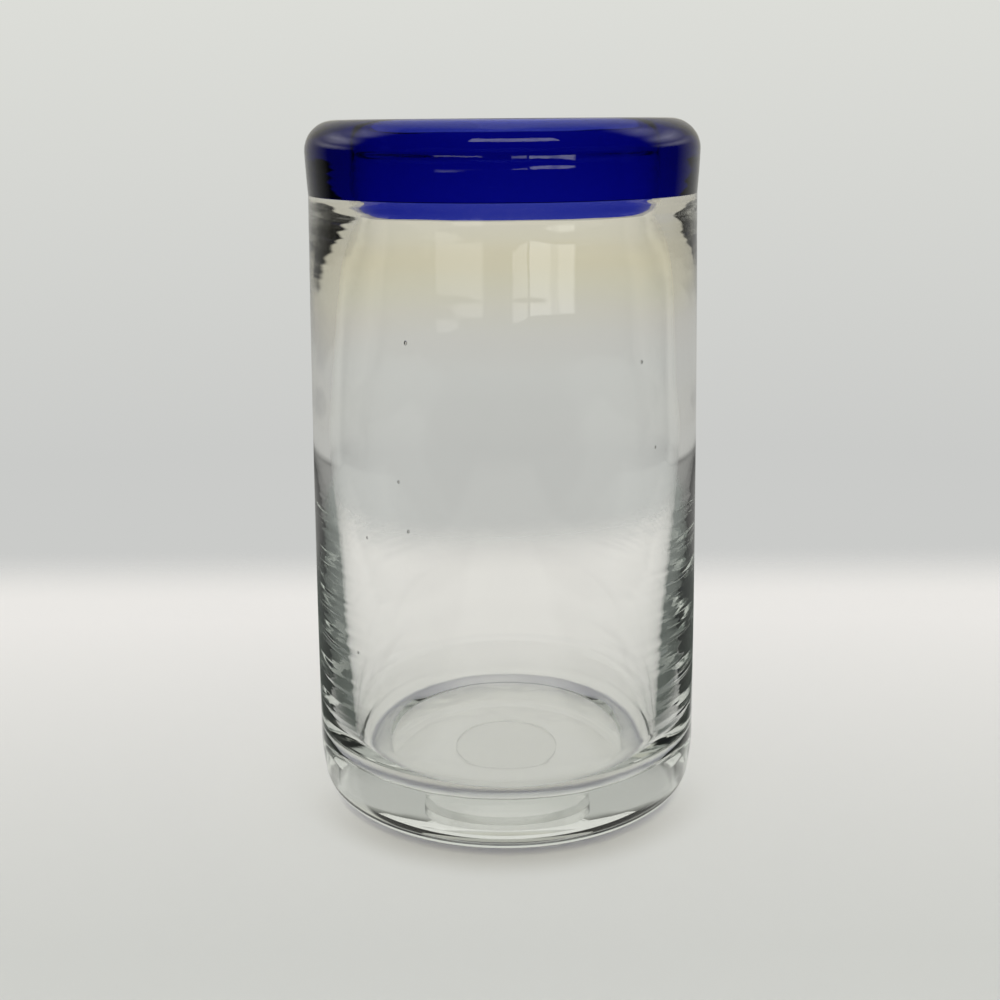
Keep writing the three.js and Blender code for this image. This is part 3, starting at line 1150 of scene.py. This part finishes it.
slats = add(tree, "ShaderNodeValToRGB", {0: up})
set_stops(slats, [(rise, (bright, bright, bright, 1)) for rise, bright in SLATS])
beside = add(tree, "ShaderNodeMapRange", {
    "Value": away, "From Min": BLIND_NEAR_EDGE[0], "From Max": BLIND_NEAR_EDGE[1],
    "To Min": 0, "To Max": BLIND_LIGHT,
}, interpolation_type="SMOOTHSTEP")
not_ahead = add(tree, "ShaderNodeMapRange", {
    "Value": away, "From Min": BLIND_FAR_EDGE[0], "From Max": BLIND_FAR_EDGE[1], "To Min": 1, "To Max": 0,
}, interpolation_type="SMOOTHSTEP")
blind_width = add(tree, "ShaderNodeMath", {
    0: beside.outputs[0], 1: not_ahead.outputs[0],
}, operation="MULTIPLY")
blind = add(tree, "ShaderNodeMath", {0: blind_width.outputs[0], 1: slats.outputs[0]}, operation="MULTIPLY")
from_outside = add(tree, "ShaderNodeMapRange", {"Value": within.outputs[0], "To Min": 1, "To Max": 0})
blinds = add(tree, "ShaderNodeMath", {0: blind.outputs[0], 1: from_outside.outputs[0]}, operation="MULTIPLY")
openings = add(tree, "ShaderNodeMath", {0: window.outputs[0], 1: blinds.outputs[0]}, operation="ADD")
print("blinds", BLIND_LIGHT)

# %% [markdown]
# ## The light of the room
# The walls, the upper room, the table and the openings make one room, which is nowhere quite black. Its light
# is nearly white, and slightly warmer over the walls.

# %% Tint the light of the room
DARK_LIGHT = 0.012
ROOM_TINT = "#fffffa"
WARM_TINT = "#fffdf0"
WARM_FROM_BELOW = (-0.02, 0.06)
WARM_TO_ABOVE = (0.3, 0.4)

light = add(tree, "ShaderNodeMath", {0: room_light.outputs[0], 1: openings.outputs[0]}, operation="ADD")
light_or_dark = add(tree, "ShaderNodeMath", {0: light.outputs[0], 1: DARK_LIGHT}, operation="MAXIMUM")
rising = add(tree, "ShaderNodeMapRange", {
    "Value": up, "From Min": WARM_FROM_BELOW[0], "From Max": WARM_FROM_BELOW[1],
})
not_high = add(tree, "ShaderNodeMapRange", {
    "Value": up, "From Min": WARM_TO_ABOVE[0], "From Max": WARM_TO_ABOVE[1], "To Min": 1, "To Max": 0,
})
warm = add(tree, "ShaderNodeMath", {0: rising.outputs[0], 1: not_high.outputs[0]}, operation="MULTIPLY")
tint = add(tree, "ShaderNodeMix", {
    0: warm.outputs[0], 6: linear(ROOM_TINT), 7: linear(WARM_TINT),
}, data_type="RGBA")
room = add(tree, "ShaderNodeVectorMath", {
    0: tint.outputs[2], "Scale": light_or_dark.outputs[0],
}, operation="SCALE")
print("room tint", ROOM_TINT, "to", WARM_TINT)

# %% [markdown]
# ## What each ray meets
# A ray that the glass has turned back meets the room, and any other ray that looks meets the wall. A ray that
# only brings light to the floor meets even white.

# %% Choose what each ray meets
bounced = add(tree, "ShaderNodeMath", {
    0: ray.outputs["Glossy Depth"], 1: ONE_BOUNCE,
}, operation="GREATER_THAN")
seen = add(tree, "ShaderNodeMix", {
    0: bounced.outputs[0], 6: wall_tone.outputs[2], 7: room.outputs[0],
}, data_type="RGBA")
mirror_or_bend = add(tree, "ShaderNodeMath", {
    0: ray.outputs["Is Glossy Ray"], 1: ray.outputs["Is Transmission Ray"],
}, operation="MAXIMUM")
looking = add(tree, "ShaderNodeMath", {
    0: mirror_or_bend.outputs[0], 1: ray.outputs["Is Camera Ray"],
}, operation="MAXIMUM")
lighting = add(tree, "ShaderNodeMath", {
    0: ray.outputs["Diffuse Depth"], 1: ONE_BOUNCE,
}, operation="GREATER_THAN")
only_looking = add(tree, "ShaderNodeMath", {
    0: looking.outputs[0], 1: lighting.outputs[0],
}, operation="SUBTRACT", use_clamp=True)
shown = add(tree, "ShaderNodeMix", {
    0: only_looking.outputs[0], 6: WHITE, 7: seen.outputs[2],
}, data_type="RGBA")
glow = add(tree, "ShaderNodeBackground", {"Color": shown.outputs[2]})
add(tree, "ShaderNodeOutputWorld", {"Surface": glow.outputs[0]})
print("world", world.name)

# %% [markdown]
# ## Following the light
# Light is turned back many times in thick glass before it leaves, so each ray is followed for many bounces.
# The mirrored panes stay sharp, and the tones are shown as they are.

# %% Follow the light
MOST_BOUNCES = 32
MOST_GLOSSY_BOUNCES = 16
MOST_CLEAR_PASSES = 16

bpy.context.scene.cycles.max_bounces = MOST_BOUNCES
bpy.context.scene.cycles.transmission_bounces = MOST_BOUNCES
bpy.context.scene.cycles.glossy_bounces = MOST_GLOSSY_BOUNCES
bpy.context.scene.cycles.transparent_max_bounces = MOST_CLEAR_PASSES
bpy.context.scene.cycles.blur_glossy = 0
bpy.context.scene.view_settings.view_transform = "Standard"
print("bounces", MOST_BOUNCES)
